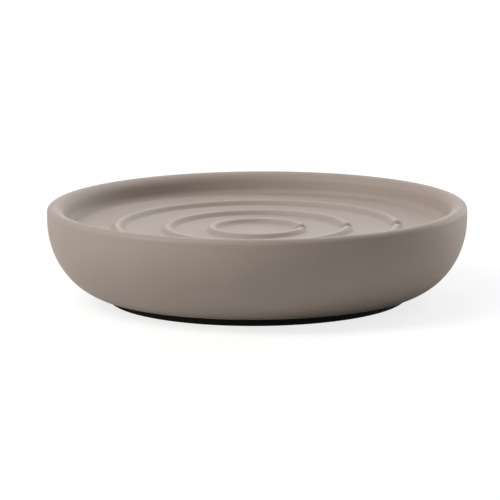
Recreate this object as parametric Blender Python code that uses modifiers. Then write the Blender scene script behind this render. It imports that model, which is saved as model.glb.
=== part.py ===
"""Soap dish: a hollow slip-cast dish with three broken soap ribs, on a soft anti-slip base pad."""

import math

import bmesh
import bpy

# All sizes are in metres. The dish stands on z = 0, with its middle on the z axis.
# The gaps in the soap ribs face +x, and the photograph looks along +y.

# Dish, outside
dish_radius = 0.0600
dish_height = 0.0271
lip_outer_radius = 0.0016
upright_band = 0.0023
belly_inset = 0.0125
belly_sweep = math.radians(70)

# Dish, inside
inner_wall_run = 0.0058
wall_steepness = math.radians(77)
lip_inner_radius = 0.0034
dish_depth = 0.0078
floor_rise = 0.00158

# Dish, hollow left by slip casting
floor_wall = 0.0045
belly_wall = 0.0045
base_wall = 0.0040
pour_hole_radius = 0.0060

# Soap ribs
rib_radius_shares = (0.245, 0.489, 0.759)
rib_height = 0.00125
rib_crest_width = 0.0008
rib_flank_width = 0.0018
rib_gap = 0.0022
rib_root_depth = 0.0012
rib_dip_share = 0.08

# Base pad
pad_setback = 0.0046
pad_thickness = 0.0025
pad_lower_edge_radius = 0.0006
pad_upper_edge_radius = 0.0003
bond_gap = 0.0003

# Smoothness of the facets
turn_steps = 72
belly_steps = 10
lip_steps = 5
corner_steps = 4
floor_steps = 7
cavity_steps = 5
edge_steps = 3
flank_steps = 4
rib_end_steps = 6
rib_step_length = 0.0033
merge_distance = 0.000001

# Heights and places that follow from the sizes
underside = pad_thickness + bond_gap
widest = dish_height - lip_outer_radius - upright_band
lip_top_radius = dish_radius - lip_outer_radius
foot_edge_radius = dish_radius - belly_inset
pad_radius = foot_edge_radius - pad_setback
floor_radius = lip_top_radius - inner_wall_run
floor_middle = dish_height - dish_depth
floor_edge = floor_middle + floor_rise
floor_edge_lean = math.atan(2 * floor_rise / floor_radius)
cavity_top = floor_middle - floor_wall
cavity_bottom = underside + base_wall
belly_width = (dish_radius - foot_edge_radius) / (1 - math.cos(belly_sweep))
belly_drop = (widest - underside) / math.sin(belly_sweep)


def belly_point(turn):
    """Point (radius, height) of the belly, turn radians below its widest circle."""
    radius = dish_radius - belly_width * (1 - math.cos(turn))
    return radius, widest - belly_drop * math.sin(turn)


def belly_wall_inside(height):
    """Radius of the hollow at this height, one wall inside the belly."""
    turn = math.asin((widest - height) / belly_drop)
    outside = belly_point(turn)[0]
    lean = math.atan2(belly_width * math.sin(turn), belly_drop * math.cos(turn))
    return outside - belly_wall / math.cos(lean)


def floor_height(radius):
    """Height of the floor, a shallow bowl that steepens towards its edge."""
    return floor_middle + floor_rise * (radius / floor_radius) ** 2


def floor_outline():
    """Floor from the middle out to its edge."""
    return [
        (floor_radius * step / floor_steps, floor_height(floor_radius * step / floor_steps))
        for step in range(floor_steps + 1)
    ]


def corner_radius():
    """Radius of the hollow corner that is tangent to the floor and to the straight of the inner wall."""
    sine, cosine = math.sin(wall_steepness), math.cos(wall_steepness)
    run = inner_wall_run - lip_inner_radius * sine
    rise = dish_height - floor_edge - lip_inner_radius * (1 - cosine)
    across = sine - math.sin(floor_edge_lean)
    lift = math.cos(floor_edge_lean) - cosine
    return (run * sine - rise * cosine) / (across * sine - lift * cosine)


def wall_outline():
    """Inner wall: hollow corner at the floor's edge, a steep straight, and the lip's inner round."""
    radius = corner_radius()
    points = []
    for step in range(1, corner_steps + 1):
        turn = floor_edge_lean + (wall_steepness - floor_edge_lean) * step / corner_steps
        points.append(
            (
                floor_radius + radius * (math.sin(turn) - math.sin(floor_edge_lean)),
                floor_edge + radius * (math.cos(floor_edge_lean) - math.cos(turn)),
            )
        )
    for step in range(lip_steps + 1):
        turn = wall_steepness * (1 - step / lip_steps)
        points.append(
            (
                lip_top_radius - lip_inner_radius * math.sin(turn),
                dish_height - lip_inner_radius * (1 - math.cos(turn)),
            )
        )
    return points


def lip_outline():
    """Outer round of the lip, from its top down to the upright band."""
    points = []
    for step in range(1, lip_steps + 1):
        turn = math.pi / 2 * step / lip_steps
        points.append(
            (
                lip_top_radius + lip_outer_radius * math.sin(turn),
                dish_height - lip_outer_radius * (1 - math.cos(turn)),
            )
        )
    return points


def belly_outline():
    """Belly from its widest circle down to the foot's edge."""
    return [belly_point(belly_sweep * step / belly_steps) for step in range(belly_steps + 1)]


def cavity_outline():
    """Pour hole and hollow, from the underside up to the middle of the hollow's roof."""
    points = [(pour_hole_radius, underside), (pour_hole_radius, cavity_bottom)]
    for step in range(cavity_steps + 1):
        height = cavity_bottom + (cavity_top - cavity_bottom) * step / cavity_steps
        points.append((belly_wall_inside(height), height))
    points.append((0, cavity_top))
    return points


def pad_outline():
    """Base pad from the middle of its top down to the middle of its underside."""
    points = [(0, pad_thickness)]
    for step in range(edge_steps + 1):
        turn = math.pi / 2 * step / edge_steps
        points.append(
            (
                pad_radius - pad_upper_edge_radius * (1 - math.sin(turn)),
                pad_thickness - pad_upper_edge_radius * (1 - math.cos(turn)),
            )
        )
    for step in range(edge_steps + 1):
        turn = math.pi / 2 * step / edge_steps
        points.append(
            (
                pad_radius - pad_lower_edge_radius * (1 - math.cos(turn)),
                pad_lower_edge_radius * (1 - math.sin(turn)),
            )
        )
    points.append((0, 0))
    return points


def rib_half_section(height):
    """Half of a rib's section as (distance from its middle line, height), from crest to root."""
    dip = rib_height * rib_dip_share
    crest = rib_crest_width / 2
    points = [(0, height + rib_height)]
    for step in range(flank_steps + 1):
        share = step / flank_steps
        fall = (rib_height + dip) * (1 - math.cos(math.pi * share)) / 2
        points.append((crest + rib_flank_width * share, height + rib_height - fall))
    points.append((crest + rib_flank_width, height - rib_root_depth))
    points.append((0, height - rib_root_depth))
    return points


def collection(name):
    group = bpy.data.collections.new(name)
    bpy.context.scene.collection.children.link(group)
    return group


def surface(name, colour, roughness):
    material = bpy.data.materials.new(name)
    material.use_nodes = True
    shader = material.node_tree.nodes["Principled BSDF"]
    shader.inputs["Base Color"].default_value = (*colour, 1)
    shader.inputs["Roughness"].default_value = roughness
    material.diffuse_color = (*colour, 1)
    return material


def placed(name, mesh, group):
    piece = bpy.data.objects.new(name, mesh)
    group.objects.link(piece)
    return piece


def turned(name, outline, group):
    """Solid of revolution about z from an outline in the xz plane."""
    mesh = bpy.data.meshes.new(name)
    edges = [(i, i + 1) for i in range(len(outline) - 1)]
    mesh.from_pydata([(radius, 0, height) for radius, height in outline], edges, [])
    piece = placed(name, mesh, group)
    screw = piece.modifiers.new("turn", "SCREW")
    screw.axis = "Z"
    screw.steps = turn_steps
    screw.render_steps = turn_steps
    screw.use_merge_vertices = True
    screw.merge_threshold = merge_distance
    return piece


def wire(bm, points, closed):
    """Vertices joined by edges, as the geometry that a spin takes."""
    corners = [bm.verts.new(point) for point in points]
    edges = [bm.edges.new(pair) for pair in zip(corners, corners[1:])]
    if closed:
        edges.append(bm.edges.new((corners[-1], corners[0])))
    return corners + edges


def rib(name, radius, group):
    """Open ring with round ends, its gap centred on +x and its root sunk into the floor."""
    half = rib_half_section(floor_height(radius))
    half_width = rib_crest_width / 2 + rib_flank_width
    end_turn = (rib_gap / 2 + half_width) / radius
    span = 2 * math.pi - 2 * end_turn
    steps = max(12, round(span * radius / rib_step_length))
    up = (0, 0, 1)
    bm = bmesh.new()

    # Ring between the two ends
    whole = half + [(-distance, height) for distance, height in half[-2:0:-1]]
    section = [
        (
            (radius + distance) * math.cos(end_turn),
            (radius + distance) * math.sin(end_turn),
            height,
        )
        for distance, height in whole
    ]
    bmesh.ops.spin(
        bm, geom=wire(bm, section, True), cent=(0, 0, 0), axis=up, angle=span, steps=steps
    )

    # Round ends
    for side in (1, -1):
        turn = side * end_turn
        along = (math.cos(turn), math.sin(turn))
        points = [
            ((radius + distance) * along[0], (radius + distance) * along[1], height)
            for distance, height in half
        ]
        middle = (radius * along[0], radius * along[1], 0)
        bmesh.ops.spin(
            bm,
            geom=wire(bm, points, False),
            cent=middle,
            axis=up,
            angle=-side * math.pi,
            steps=rib_end_steps,
        )
    bmesh.ops.remove_doubles(bm, verts=bm.verts, dist=merge_distance)
    bmesh.ops.recalc_face_normals(bm, faces=bm.faces)
    mesh = bpy.data.meshes.new(name)
    bm.to_mesh(mesh)
    bm.free()
    return placed(name, mesh, group)


def smooth(piece):
    """Applies the piece's modifiers and shades it smooth, with its real edges kept sharp."""
    bpy.context.view_layer.update()
    graph = bpy.context.evaluated_depsgraph_get()
    mesh = bpy.data.meshes.new_from_object(piece.evaluated_get(graph))
    piece.modifiers.clear()
    piece.data = mesh
    mesh.shade_smooth()
    mesh.set_sharp_from_angle(angle=math.radians(40))


for old in list(bpy.data.objects):
    bpy.data.objects.remove(old)

parts = collection("soap_dish")
helpers = collection("soap_dish_helpers")
helpers.hide_render = True

taupe_stoneware = surface("taupe_soft_touch_stoneware", (0.366, 0.301, 0.264), 0.62)
black_pad = surface("black_anti_slip_pad", (0.010, 0.009, 0.008), 0.8)

# Dish body, one casting with its ribs
body_outline = floor_outline() + wall_outline() + lip_outline() + belly_outline() + cavity_outline()
dish_body = turned("dish_body", body_outline, parts)
for number, share in enumerate(rib_radius_shares, 1):
    soap_rib = rib(f"soap_rib_{number}", floor_radius * share, helpers)
    soap_rib.hide_render = True
    soap_rib.display_type = "WIRE"
    join = dish_body.modifiers.new(f"rib {number}", "BOOLEAN")
    join.operation = "UNION"
    join.solver = "EXACT"
    join.object = soap_rib
smooth(dish_body)
dish_body.data.materials.append(taupe_stoneware)

# Base pad
anti_slip_base = turned("anti_slip_base", pad_outline(), parts)
smooth(anti_slip_base)
anti_slip_base.data.materials.append(black_pad)
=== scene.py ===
"""Looks of the soap dish: the smooth stoneware body with its soap ribs, and the anti-slip base pad."""

import math

import bmesh
import bpy
from mathutils import Matrix, Vector


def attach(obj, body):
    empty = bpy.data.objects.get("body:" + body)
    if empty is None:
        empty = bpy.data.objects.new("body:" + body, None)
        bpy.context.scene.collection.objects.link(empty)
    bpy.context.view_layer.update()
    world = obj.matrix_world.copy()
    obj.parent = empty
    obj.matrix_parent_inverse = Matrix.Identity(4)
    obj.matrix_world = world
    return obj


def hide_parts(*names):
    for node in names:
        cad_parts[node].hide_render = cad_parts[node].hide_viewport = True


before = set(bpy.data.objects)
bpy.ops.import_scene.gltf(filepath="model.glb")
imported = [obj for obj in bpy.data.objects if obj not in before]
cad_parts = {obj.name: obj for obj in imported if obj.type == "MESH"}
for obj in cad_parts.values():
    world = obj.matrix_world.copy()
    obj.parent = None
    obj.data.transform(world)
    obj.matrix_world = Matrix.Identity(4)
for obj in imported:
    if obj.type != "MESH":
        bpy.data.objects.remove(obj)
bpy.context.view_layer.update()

MM = 0.001

# Sizes of the body, as in the CAD source
DISH_RADIUS = 60.0 * MM
DISH_HEIGHT = 27.1 * MM
LIP_OUTER_RADIUS = 1.6 * MM
UPRIGHT_BAND = 2.3 * MM
BELLY_INSET = 12.5 * MM
BELLY_SWEEP = math.radians(70)
INNER_WALL_RUN = 5.8 * MM
LIP_INNER_RADIUS = 3.4 * MM
WALL_STEEPNESS = math.radians(77)
DISH_DEPTH = 7.8 * MM
FLOOR_RISE = 1.58 * MM
RIB_RADIUS_SHARES = (0.245, 0.489, 0.759)
RIB_HEIGHT = 1.25 * MM
RIB_CREST_WIDTH = 0.8 * MM
RIB_FLANK_WIDTH = 1.8 * MM
RIB_GAP = 2.2 * MM

# Sizes of the base pad, as in the CAD source
PAD_SETBACK = 4.6 * MM
PAD_THICKNESS = 2.5 * MM
PAD_UPPER_EDGE_RADIUS = 0.3 * MM
PAD_LOWER_EDGE_RADIUS = 0.6 * MM
BOND_GAP = 0.3 * MM

# Heights and places that follow from the sizes
UNDERSIDE = PAD_THICKNESS + BOND_GAP
WIDEST = DISH_HEIGHT - LIP_OUTER_RADIUS - UPRIGHT_BAND
LIP_TOP_RADIUS = DISH_RADIUS - LIP_OUTER_RADIUS
FOOT_EDGE_RADIUS = DISH_RADIUS - BELLY_INSET
PAD_RADIUS = FOOT_EDGE_RADIUS - PAD_SETBACK
FLOOR_RADIUS = LIP_TOP_RADIUS - INNER_WALL_RUN
FLOOR_MIDDLE = DISH_HEIGHT - DISH_DEPTH
FLOOR_EDGE_LEAN = math.atan(2 * FLOOR_RISE / FLOOR_RADIUS)
RIB_HALF_WIDTH = RIB_CREST_WIDTH / 2 + RIB_FLANK_WIDTH

# How fine the body's mesh is. Its rings' points crowd towards the rib gaps, on +x.
BODY_TURN_STEPS = 448
TURN_CROWDING = 0.55
RIB_SPACING = 0.22 * MM
FLOOR_SPACING = 0.9 * MM
CORNER_STEPS = 18
LIP_INNER_STEPS = 16
LIP_OUTER_STEPS = 12
BELLY_STEPS = 36
UNDERSIDE_RING_SHARES = (0.99, 0.93, 0.8, 0.5, 0.2, 0)

# How fine the pad's mesh is
PAD_TURN_STEPS = 192
PAD_UPPER_EDGE_STEPS = 6
PAD_LOWER_EDGE_STEPS = 8
PAD_RING_SHARES = (0, 0.25, 0.5, 0.75, 0.95)

MERGE = 0.002 * MM

# Grain that all the matte surfaces share
COARSE_GRAIN_SHARE = 0.22
SPECK_SHARE = 0.6
FINE_HEIGHT_SHARE = 0.6
PATCH_RANGE = (0.3, 0.7)
SPECK_RANGE = (0.35, 0.65)

# Soft-touch coat
COAT_GRAIN_SIZE = 0.22 * MM
COAT_PATCH_SIZE = 14 * MM
COAT_DEEP = (0.355, 0.291, 0.255, 1)
COAT_PALE = (0.377, 0.311, 0.273, 1)
COAT_SPECK = (0.330, 0.266, 0.230, 1)
# Paler colour on the rib crests: partly wear where soap rubs, partly a painted highlight
COAT_CREST_PALE_WEAR_AND_HIGHLIGHT = (0.410, 0.344, 0.304, 1)
COAT_SPECK_STRENGTH = 0.18
CREST_PALING_STRENGTH = 0.45
CREST_PALING_NARROWING = 2.0
RUB_POLISH = 0.06
COAT_ROUGHNESS = (0.58, 0.66)
COAT_BUMP_STRENGTH = 0.35
COAT_BUMP_HEIGHT = 0.02 * MM

# Pad rubber
RUBBER_GRAIN_SIZE = 0.45 * MM
RUBBER_PATCH_SIZE = 9 * MM
RUBBER_BLACK = (0.016, 0.014, 0.011, 1)
RUBBER_DUSTY = (0.032, 0.027, 0.022, 1)
DUST_STRENGTH = 0.5
RUBBER_ROUGHNESS = (0.72, 0.88)
RUBBER_BUMP_STRENGTH = 0.5
RUBBER_BUMP_HEIGHT = 0.06 * MM

# Paper floor. It glows where rays see it, fully so away from the dish, which leaves a faint shadow.
PAPER_GRAIN_SIZE = 0.8 * MM
PAPER_PATCH_SIZE = 60 * MM
PAPER_DEEP = (0.80, 0.80, 0.80, 1)
PAPER_PALE = (0.82, 0.82, 0.82, 1)
PAPER_SEEN = (0.29, 0.29, 0.29, 1)
PAPER_ROUGHNESS = (0.9, 0.97)
SEEN_GLOW = 0.79
MIRRORED_GLOW = 0.1
FADE_START = 0.3
FADE_END = 1.2
FLOOR_HALF_SIZE = 3.0
FLOOR_CLEARANCE = 0.05 * MM

# Painted contact shadow under the dish: the paper is painted black for bounced rays, round and
# soft-edged, its middle moved to the picture's right
PAINTED_SHADE_BLACK = (0.02, 0.02, 0.02, 1)
PAINTED_SHADE_MIDDLE = (6 * MM, 0, 0)
PAINTED_SHADE_FADE_START = 46 * MM
PAINTED_SHADE_FADE_END = 55 * MM

# Softboxes: name, azimuth, elevation, power and colour of each
LAMP_DISTANCE = 1.2
LAMP_SIZE = 0.5
LAMPS = (
    ("left_low", 315, 8, 1.8, (1.0, 0.93, 0.72)),
    ("left_side", 292, 35, 3.7, (0.98, 1.0, 1.0)),
    ("left_high", 292, 50, 5.6, (0.99, 0.98, 0.96)),
    ("left_front_high", 315, 70, 2.05, (1.0, 0.97, 0.95)),
    ("right_low", 112, 8, 2.5, (1.0, 0.90, 0.68)),
    ("right_back_low", 135, 8, 4.2, (0.91, 0.95, 1.0)),
    ("right_back", 135, 35, 3.0, (0.97, 0.97, 1.0)),
    ("back_low", 180, 8, 1.56, (1.0, 0.96, 0.97)),
    ("back_high", 180, 50, 2.1, (0.97, 0.94, 0.98)),
)
WHITE = (1, 1, 1, 1)
ROOM_LIGHT = 0.02

# Camera, placed from the middle of the pad's underside. The lens and its sensor are in millimetres.
CAMERA_RISE = math.radians(10.34)
CAMERA_ROLL = math.radians(0.35)
CAMERA_DISTANCE = 1.0
CAMERA_ASIDE = -2.09 * MM
CAMERA_ABOVE = 13.36 * MM
CAMERA_LENS = 250.66
CAMERA_SENSOR = 36
CAMERA_REACH = (0.05, 20)

# Sockets of a colour Mix node, which has others of the same names for numbers and vectors
MIX_SHARE, MIX_LOW, MIX_HIGH, MIX_RESULT = 0, 6, 7, 2

# Layout of the nodes in their editor
NODE_SPACING = 200
FIRST_NODE = -2000


def floor_height(radius):
    """Height of the floor, a shallow bowl that steepens towards its edge."""
    return FLOOR_MIDDLE + FLOOR_RISE * (radius / FLOOR_RADIUS) ** 2


def floor_stations():
    """Radii across the floor, close together on the ribs and wider between them."""
    stations = [0.0]
    while stations[-1] < FLOOR_RADIUS:
        here = stations[-1]
        near = min(abs(here - FLOOR_RADIUS * share) for share in RIB_RADIUS_SHARES)
        step = RIB_SPACING if near < RIB_HALF_WIDTH + RIB_SPACING else FLOOR_SPACING
        gap = near - RIB_HALF_WIDTH - RIB_SPACING
        stations.append(here + (min(step, gap) if gap > RIB_SPACING else step))
    return [r for r in stations if r < FLOOR_RADIUS - FLOOR_SPACING / 2] + [FLOOR_RADIUS]


def rib_profile(away):
    """Height of a rib at this distance from its middle line: a rounded crest on soft flanks."""
    share = min(max((away - RIB_CREST_WIDTH / 2) / RIB_FLANK_WIDTH, 0.0), 1.0)
    return RIB_HEIGHT * (1 + math.cos(math.pi * share)) / 2


def rib_rise(x, y):
    """Height that the three broken ribs add to the floor at this point."""
    radius = math.hypot(x, y)
    turn = abs(math.atan2(y, x))
    rise = 0.0
    for share in RIB_RADIUS_SHARES:
        middle = FLOOR_RADIUS * share
        end = (RIB_GAP / 2 + RIB_HALF_WIDTH) / middle
        if turn >= end:
            away = abs(radius - middle)
        else:
            away = math.hypot(
                radius * math.cos(turn) - middle * math.cos(end),
                radius * math.sin(turn) - middle * math.sin(end),
            )
        rise = max(rise, rib_profile(away))
    return rise


def wall_corner():
    """Radius of the hollow corner where floor and wall meet, and the corner's middle in the xz plane."""
    sine, cosine = math.sin(WALL_STEEPNESS), math.cos(WALL_STEEPNESS)
    floor_edge = floor_height(FLOOR_RADIUS)
    run = INNER_WALL_RUN - LIP_INNER_RADIUS * sine
    up = DISH_HEIGHT - floor_edge - LIP_INNER_RADIUS * (1 - cosine)
    across = sine - math.sin(FLOOR_EDGE_LEAN)
    lift = math.cos(FLOOR_EDGE_LEAN) - cosine
    radius = (run * sine - up * cosine) / (across * sine - lift * cosine)
    return radius, (
        FLOOR_RADIUS - radius * math.sin(FLOOR_EDGE_LEAN),
        floor_edge + radius * math.cos(FLOOR_EDGE_LEAN),
    )


def arc(middle, radius, start, end, steps, first=1):
    """Points of an arc in the xz plane, its angles measured from +x towards +z."""
    points = []
    for step in range(first, steps + 1):
        turn = start + (end - start) * step / steps
        points.append((middle[0] + radius * math.cos(turn), middle[1] + radius * math.sin(turn)))
    return points


def body_outline():
    """The body's outline: from the middle of its floor over the lip, and down the belly to the axis."""
    down, up = -math.pi / 2, math.pi / 2
    outline = [(radius, floor_height(radius)) for radius in floor_stations()]
    corner_radius, corner_middle = wall_corner()
    outline += arc(
        corner_middle,
        corner_radius,
        down + FLOOR_EDGE_LEAN,
        down + WALL_STEEPNESS,
        CORNER_STEPS,
    )
    inner_middle = (LIP_TOP_RADIUS, DISH_HEIGHT - LIP_INNER_RADIUS)
    outline += arc(
        inner_middle, LIP_INNER_RADIUS, up + WALL_STEEPNESS, up, LIP_INNER_STEPS, first=0
    )
    outer_middle = (LIP_TOP_RADIUS, DISH_HEIGHT - LIP_OUTER_RADIUS)
    outline += arc(outer_middle, LIP_OUTER_RADIUS, up, 0, LIP_OUTER_STEPS)
    width = BELLY_INSET / (1 - math.cos(BELLY_SWEEP))
    drop = (WIDEST - UNDERSIDE) / math.sin(BELLY_SWEEP)
    for step in range(BELLY_STEPS + 1):
        turn = BELLY_SWEEP * step / BELLY_STEPS
        outline.append((DISH_RADIUS - width * (1 - math.cos(turn)), WIDEST - drop * math.sin(turn)))
    outline += [(FOOT_EDGE_RADIUS * share, UNDERSIDE) for share in UNDERSIDE_RING_SHARES]
    return outline


def pad_outline():
    """The pad's outline, from the middle of its top over both edges to the middle of its underside."""
    upper, lower = PAD_UPPER_EDGE_RADIUS, PAD_LOWER_EDGE_RADIUS
    outline = [(PAD_RADIUS * share, PAD_THICKNESS) for share in PAD_RING_SHARES]
    outline.append((PAD_RADIUS - upper, PAD_THICKNESS))
    upper_middle = (PAD_RADIUS - upper, PAD_THICKNESS - upper)
    outline += arc(upper_middle, upper, math.pi / 2, 0, PAD_UPPER_EDGE_STEPS)
    outline += arc((PAD_RADIUS - lower, lower), lower, 0, -math.pi / 2, PAD_LOWER_EDGE_STEPS)
    outline += [(PAD_RADIUS * share, 0) for share in reversed(PAD_RING_SHARES)]
    return outline


def turned(outline, steps):
    """A bmesh turned about z from an outline, its poles and seam closed."""
    bm = bmesh.new()
    corners = [bm.verts.new((radius, 0, height)) for radius, height in outline]
    edges = [bm.edges.new(pair) for pair in zip(corners, corners[1:])]
    bmesh.ops.spin(
        bm,
        geom=corners + edges,
        cent=(0, 0, 0),
        axis=(0, 0, 1),
        angle=2 * math.pi,
        steps=steps,
        use_merge=True,
    )
    bmesh.ops.remove_doubles(bm, verts=bm.verts, dist=MERGE)
    bmesh.ops.recalc_face_normals(bm, faces=bm.faces)
    return bm


def placed(name, bm, material):
    """Makes the bmesh an object of one material."""
    mesh = bpy.data.meshes.new(name)
    bm.to_mesh(mesh)
    bm.free()
    mesh.materials.append(material)
    obj = bpy.data.objects.new(name, mesh)
    bpy.context.scene.collection.objects.link(obj)
    return obj


def stoneware_body(material):
    """The dish body, its ribs raised from the floor's points. "crest" holds how high on a rib each is."""
    bm = turned(body_outline(), BODY_TURN_STEPS)
    crest = bm.verts.layers.float.new("crest")
    for corner in bm.verts:
        x, y, z = corner.co
        radius = math.hypot(x, y)
        turn = math.atan2(y, x)
        turn -= TURN_CROWDING * math.sin(turn)
        corner.co.x = radius * math.cos(turn)
        corner.co.y = radius * math.sin(turn)
        if radius < FLOOR_RADIUS and z > UNDERSIDE + MERGE:
            rise = rib_rise(corner.co.x, corner.co.y)
            corner.co.z += rise
            corner[crest] = rise / RIB_HEIGHT
    obj = placed("stoneware_body", bm, material)
    obj.data.shade_smooth()
    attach(obj, "root")
    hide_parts("dish_body")


def base_pad(material):
    """The rubber pad under the body."""
    obj = placed("anti_slip_pad", turned(pad_outline(), PAD_TURN_STEPS), material)
    obj.data.shade_smooth()
    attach(obj, "root")
    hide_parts("anti_slip_base")


class Nodes:
    """Short calls for placing and linking shader nodes in one node tree."""

    def __init__(self, tree):
        self.tree = tree
        self.column = 0

    def add(self, kind, settings=None, **inputs):
        """A node with these settings and inputs. An input's name has _ where its socket has a space."""
        node = self.tree.nodes.new(kind)
        self.column += 1
        node.location = (FIRST_NODE + self.column * NODE_SPACING, 0)
        for key, value in (settings or {}).items():
            setattr(node, key, value)
        for key, value in inputs.items():
            self.put(node.inputs[key.replace("_", " ")], value)
        return node

    def put(self, socket, value):
        """Links another node's socket to this one, or sets it to a plain value."""
        if isinstance(value, bpy.types.NodeSocket):
            self.tree.links.new(value, socket)
        else:
            socket.default_value = value

    def math(self, operation, *values):
        """The result of one step of arithmetic on the values."""
        node = self.add("ShaderNodeMath", {"operation": operation})
        for socket, value in zip(node.inputs, values):
            self.put(socket, value)
        return node.outputs[0]

    def distance(self, place, middle):
        """How far a place is from a fixed middle."""
        node = self.add("ShaderNodeVectorMath", {"operation": "DISTANCE"}, Vector=place)
        node.inputs[1].default_value = middle
        return node.outputs["Value"]

    def blend(self, share, low, high):
        """A colour between two others."""
        node = self.add("ShaderNodeMix", {"data_type": "RGBA"})
        self.put(node.inputs[MIX_SHARE], share)
        self.put(node.inputs[MIX_LOW], low)
        self.put(node.inputs[MIX_HIGH], high)
        return node.outputs[MIX_RESULT]

    def spread(self, value, given, wanted):
        """The value, stretched from one range to another and held inside it."""
        node = self.add("ShaderNodeMapRange", Value=value)
        node.inputs["From Min"].default_value, node.inputs["From Max"].default_value = given
        node.inputs["To Min"].default_value, node.inputs["To Max"].default_value = wanted
        return node.outputs[0]

    def noise(self, place, scale, detail, roughness):
        """Soft noise of the given fineness."""
        node = self.add("ShaderNodeTexNoise", Vector=place, Scale=scale)
        node.inputs["Detail"].default_value = detail
        node.inputs["Roughness"].default_value = roughness
        return node.outputs[0]


def new_material(name):
    """A new material, the short calls for its nodes, and its shader."""
    material = bpy.data.materials.new(name)
    material.use_nodes = True
    tree = material.node_tree
    return material, Nodes(tree), tree.nodes["Principled BSDF"]


def grain_group():
    """Fine matte grain from a place in metres: a height for bumps, slow patches, and small specks."""
    tree = bpy.data.node_groups.new("matte_grain", "ShaderNodeTree")
    for name, side, kind in (
        ("Place", "INPUT", "NodeSocketVector"),
        ("Grain Size", "INPUT", "NodeSocketFloat"),
        ("Patch Size", "INPUT", "NodeSocketFloat"),
        ("Height", "OUTPUT", "NodeSocketFloat"),
        ("Patches", "OUTPUT", "NodeSocketFloat"),
        ("Specks", "OUTPUT", "NodeSocketFloat"),
    ):
        tree.interface.new_socket(name=name, in_out=side, socket_type=kind)
    n = Nodes(tree)
    given = n.add("NodeGroupInput").outputs
    place = given["Place"]
    grain_scale = n.math("DIVIDE", 1.0, given["Grain Size"])
    patch_scale = n.math("DIVIDE", 1.0, given["Patch Size"])
    coarse_scale = n.math("MULTIPLY", grain_scale, COARSE_GRAIN_SHARE)
    speck_scale = n.math("MULTIPLY", grain_scale, SPECK_SHARE)
    fine = n.noise(place, grain_scale, detail=2.0, roughness=0.6)
    coarse = n.noise(place, coarse_scale, detail=1.0, roughness=0.5)
    patches = n.noise(place, patch_scale, detail=3.0, roughness=0.55)
    specks = n.noise(place, speck_scale, detail=1.0, roughness=0.4)
    height = n.math(
        "ADD",
        n.math("MULTIPLY", fine, FINE_HEIGHT_SHARE),
        n.math("MULTIPLY", coarse, 1 - FINE_HEIGHT_SHARE),
    )
    out = n.add("NodeGroupOutput")
    n.put(out.inputs["Height"], height)
    n.put(out.inputs["Patches"], n.spread(patches, PATCH_RANGE, (0.0, 1.0)))
    n.put(out.inputs["Specks"], n.spread(specks, SPECK_RANGE, (0.0, 1.0)))
    return tree


def grain(n, group, grain_size, patch_size):
    """Places the grain group in a material, on the piece's own coordinates, and gives its outputs."""
    node = n.add("ShaderNodeGroup", {"node_tree": group})
    n.put(node.inputs["Place"], n.add("ShaderNodeTexCoord").outputs["Object"])
    node.inputs["Grain Size"].default_value = grain_size
    node.inputs["Patch Size"].default_value = patch_size
    return node.outputs


def soft_touch_taupe(group):
    """Matte soft-touch coat: even taupe, faintly patchy, and paler on the rib crests, partly as wear
    where soap rubs and partly as a painted highlight, a little smoother there too.
    """
    material, n, shader = new_material("soft_touch_taupe_stoneware")
    fine = grain(n, group, COAT_GRAIN_SIZE, COAT_PATCH_SIZE)
    crest = n.add("ShaderNodeAttribute", {"attribute_name": "crest"}).outputs["Fac"]
    even = n.blend(fine["Patches"], COAT_DEEP, COAT_PALE)
    speckled = n.blend(n.math("MULTIPLY", fine["Specks"], COAT_SPECK_STRENGTH), even, COAT_SPECK)
    # Rib crests painted paler: partly wear, partly painted highlight
    crest_paling = n.math("MULTIPLY", n.math("POWER", crest, CREST_PALING_NARROWING), CREST_PALING_STRENGTH)
    n.put(shader.inputs["Base Color"], n.blend(crest_paling, speckled, COAT_CREST_PALE_WEAR_AND_HIGHLIGHT))
    rough = n.spread(fine["Patches"], (0.0, 1.0), COAT_ROUGHNESS)
    polish = n.math("MULTIPLY", crest, RUB_POLISH)
    n.put(shader.inputs["Roughness"], n.math("SUBTRACT", rough, polish))
    bump = n.add(
        "ShaderNodeBump",
        Strength=COAT_BUMP_STRENGTH,
        Distance=COAT_BUMP_HEIGHT,
        Height=fine["Height"],
    )
    n.put(shader.inputs["Normal"], bump.outputs[0])
    shader.inputs["Specular IOR Level"].default_value = 0.5
    shader.inputs["Sheen Weight"].default_value = 0.12
    shader.inputs["Sheen Roughness"].default_value = 0.5
    return material


def black_pad_rubber(group):
    """Matte black rubber, with the fine pitted skin of a moulded sheet and a little dust in it."""
    material, n, shader = new_material("black_anti_slip_rubber")
    fine = grain(n, group, RUBBER_GRAIN_SIZE, RUBBER_PATCH_SIZE)
    dust = n.math("MULTIPLY", fine["Patches"], DUST_STRENGTH)
    n.put(shader.inputs["Base Color"], n.blend(dust, RUBBER_BLACK, RUBBER_DUSTY))
    n.put(shader.inputs["Roughness"], n.spread(fine["Specks"], (0.0, 1.0), RUBBER_ROUGHNESS))
    bump = n.add(
        "ShaderNodeBump",
        Strength=RUBBER_BUMP_STRENGTH,
        Distance=RUBBER_BUMP_HEIGHT,
        Height=fine["Height"],
    )
    n.put(shader.inputs["Normal"], bump.outputs[0])
    shader.inputs["Specular IOR Level"].default_value = 0.2
    return material


def studio_rays(n):
    """1 for rays that show the studio straight or through glass, and 1 for rays that mirror it."""
    path = n.add("ShaderNodeLightPath").outputs
    seen = n.math("MAXIMUM", path["Is Camera Ray"], path["Is Transmission Ray"])
    return seen, path["Is Glossy Ray"]


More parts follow.
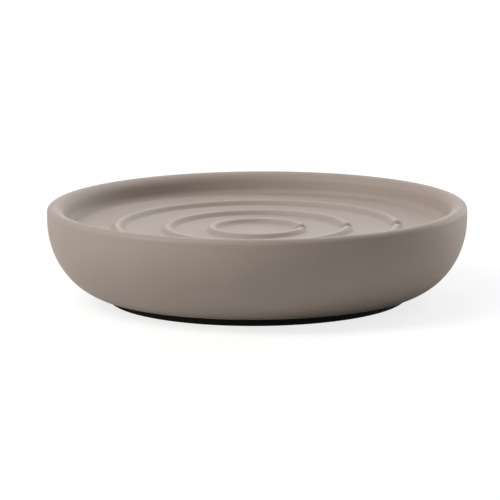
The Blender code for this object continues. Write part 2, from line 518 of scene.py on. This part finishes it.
def white_paper(group):
    """Matte white paper: it keeps the dish's soft shadow, and shows white elsewhere, mirrored too.

    Under the dish the paper is painted black for bounced light only, a painted contact shadow that
    darkens the belly's lowest edge: the camera doesn't see it.
    """
    material, n, shader = new_material("white_paper_floor")
    fine = grain(n, group, PAPER_GRAIN_SIZE, PAPER_PATCH_SIZE)
    place = n.add("ShaderNodeTexCoord").outputs["Object"]
    seen, mirrored = studio_rays(n)
    paper = n.blend(fine["Patches"], PAPER_DEEP, PAPER_PALE)
    # Painted contact shadow: paper painted black near the dish for bounced rays
    from_painted_shade = n.distance(place, PAINTED_SHADE_MIDDLE)
    beyond_painted_shade = n.spread(from_painted_shade, (PAINTED_SHADE_FADE_START, PAINTED_SHADE_FADE_END), (0.0, 1.0))
    bouncing = n.blend(beyond_painted_shade, PAINTED_SHADE_BLACK, paper)
    n.put(shader.inputs["Base Color"], n.blend(seen, bouncing, PAPER_SEEN))
    n.put(shader.inputs["Roughness"], n.spread(fine["Specks"], (0.0, 1.0), PAPER_ROUGHNESS))
    shader.inputs["Specular IOR Level"].default_value = 0.1
    shader.inputs["Emission Color"].default_value = WHITE
    away = n.distance(place, (0, 0, 0))
    seen_glow = n.spread(away, (FADE_START, FADE_END), (SEEN_GLOW, 1.0))
    glow = n.math("MULTIPLY", seen, seen_glow)
    mirrored_glow = n.math("MULTIPLY", mirrored, MIRRORED_GLOW)
    n.put(shader.inputs["Emission Strength"], n.math("MAXIMUM", glow, mirrored_glow))
    return material


def white_room():
    """A world that lights faintly and shows plain white."""
    world = bpy.data.worlds.new("plain_studio")
    bpy.context.scene.world = world
    world.use_nodes = True
    world.node_tree.nodes.clear()
    n = Nodes(world.node_tree)
    light = n.add("ShaderNodeBackground", Color=WHITE, Strength=ROOM_LIGHT)
    white = n.add("ShaderNodeBackground", Color=WHITE, Strength=1.0)
    mix = n.add("ShaderNodeMixShader")
    n.put(mix.inputs[0], n.math("MAXIMUM", *studio_rays(n)))
    n.put(mix.inputs[1], light.outputs[0])
    n.put(mix.inputs[2], white.outputs[0])
    out = n.add("ShaderNodeOutputWorld")
    n.put(out.inputs["Surface"], mix.outputs[0])


def paper_floor(material):
    """The sheet of paper that the dish stands on, a hair below the pad."""
    bm = bmesh.new()
    bmesh.ops.create_grid(bm, x_segments=1, y_segments=1, size=FLOOR_HALF_SIZE)
    floor = placed("floor", bm, material)
    floor.location.z = -FLOOR_CLEARANCE


def softbox(name, azimuth, elevation, power, colour):
    """Square lamp aimed at the dish. Azimuth 0 is the camera's side, 90 the right of the picture."""
    turn, lift = math.radians(azimuth), math.radians(elevation)
    away = Vector((math.sin(turn) * math.cos(lift), -math.cos(turn) * math.cos(lift), math.sin(lift)))
    lamp = bpy.data.lights.new(name, "AREA")
    lamp.shape = "SQUARE"
    lamp.size = LAMP_SIZE
    lamp.energy = power
    lamp.color = colour
    obj = bpy.data.objects.new(name, lamp)
    bpy.context.scene.collection.objects.link(obj)
    obj.location = away * LAMP_DISTANCE + Vector((0, 0, DISH_HEIGHT / 2))
    obj.rotation_euler = away.to_track_quat("Z", "Y").to_euler()


def camera():
    """Camera at the photograph's height, distance and slight tilt, with a long lens."""
    right = Vector((1, 0, 0))
    forward = Vector((0, math.cos(CAMERA_RISE), -math.sin(CAMERA_RISE)))
    up = Vector((0, math.sin(CAMERA_RISE), math.cos(CAMERA_RISE)))
    place = right * CAMERA_ASIDE + up * CAMERA_ABOVE - forward * CAMERA_DISTANCE
    rolled_right = right * math.cos(CAMERA_ROLL) - up * math.sin(CAMERA_ROLL)
    rolled_up = right * math.sin(CAMERA_ROLL) + up * math.cos(CAMERA_ROLL)
    view = bpy.data.cameras.new("photo_view")
    view.sensor_width = CAMERA_SENSOR
    view.lens = CAMERA_LENS
    view.clip_start, view.clip_end = CAMERA_REACH
    obj = bpy.data.objects.new("photo_view", view)
    bpy.context.scene.collection.objects.link(obj)
    facing = Matrix((rolled_right, rolled_up, -forward)).transposed().to_4x4()
    obj.matrix_world = Matrix.Translation(place) @ facing
    bpy.context.scene.camera = obj


matte_grain = grain_group()
stoneware_body(soft_touch_taupe(matte_grain))
base_pad(black_pad_rubber(matte_grain))
for lamp_row in LAMPS:
    softbox(*lamp_row)
white_room()
paper_floor(white_paper(matte_grain))
camera()
bpy.context.scene.view_settings.view_transform = "Standard"
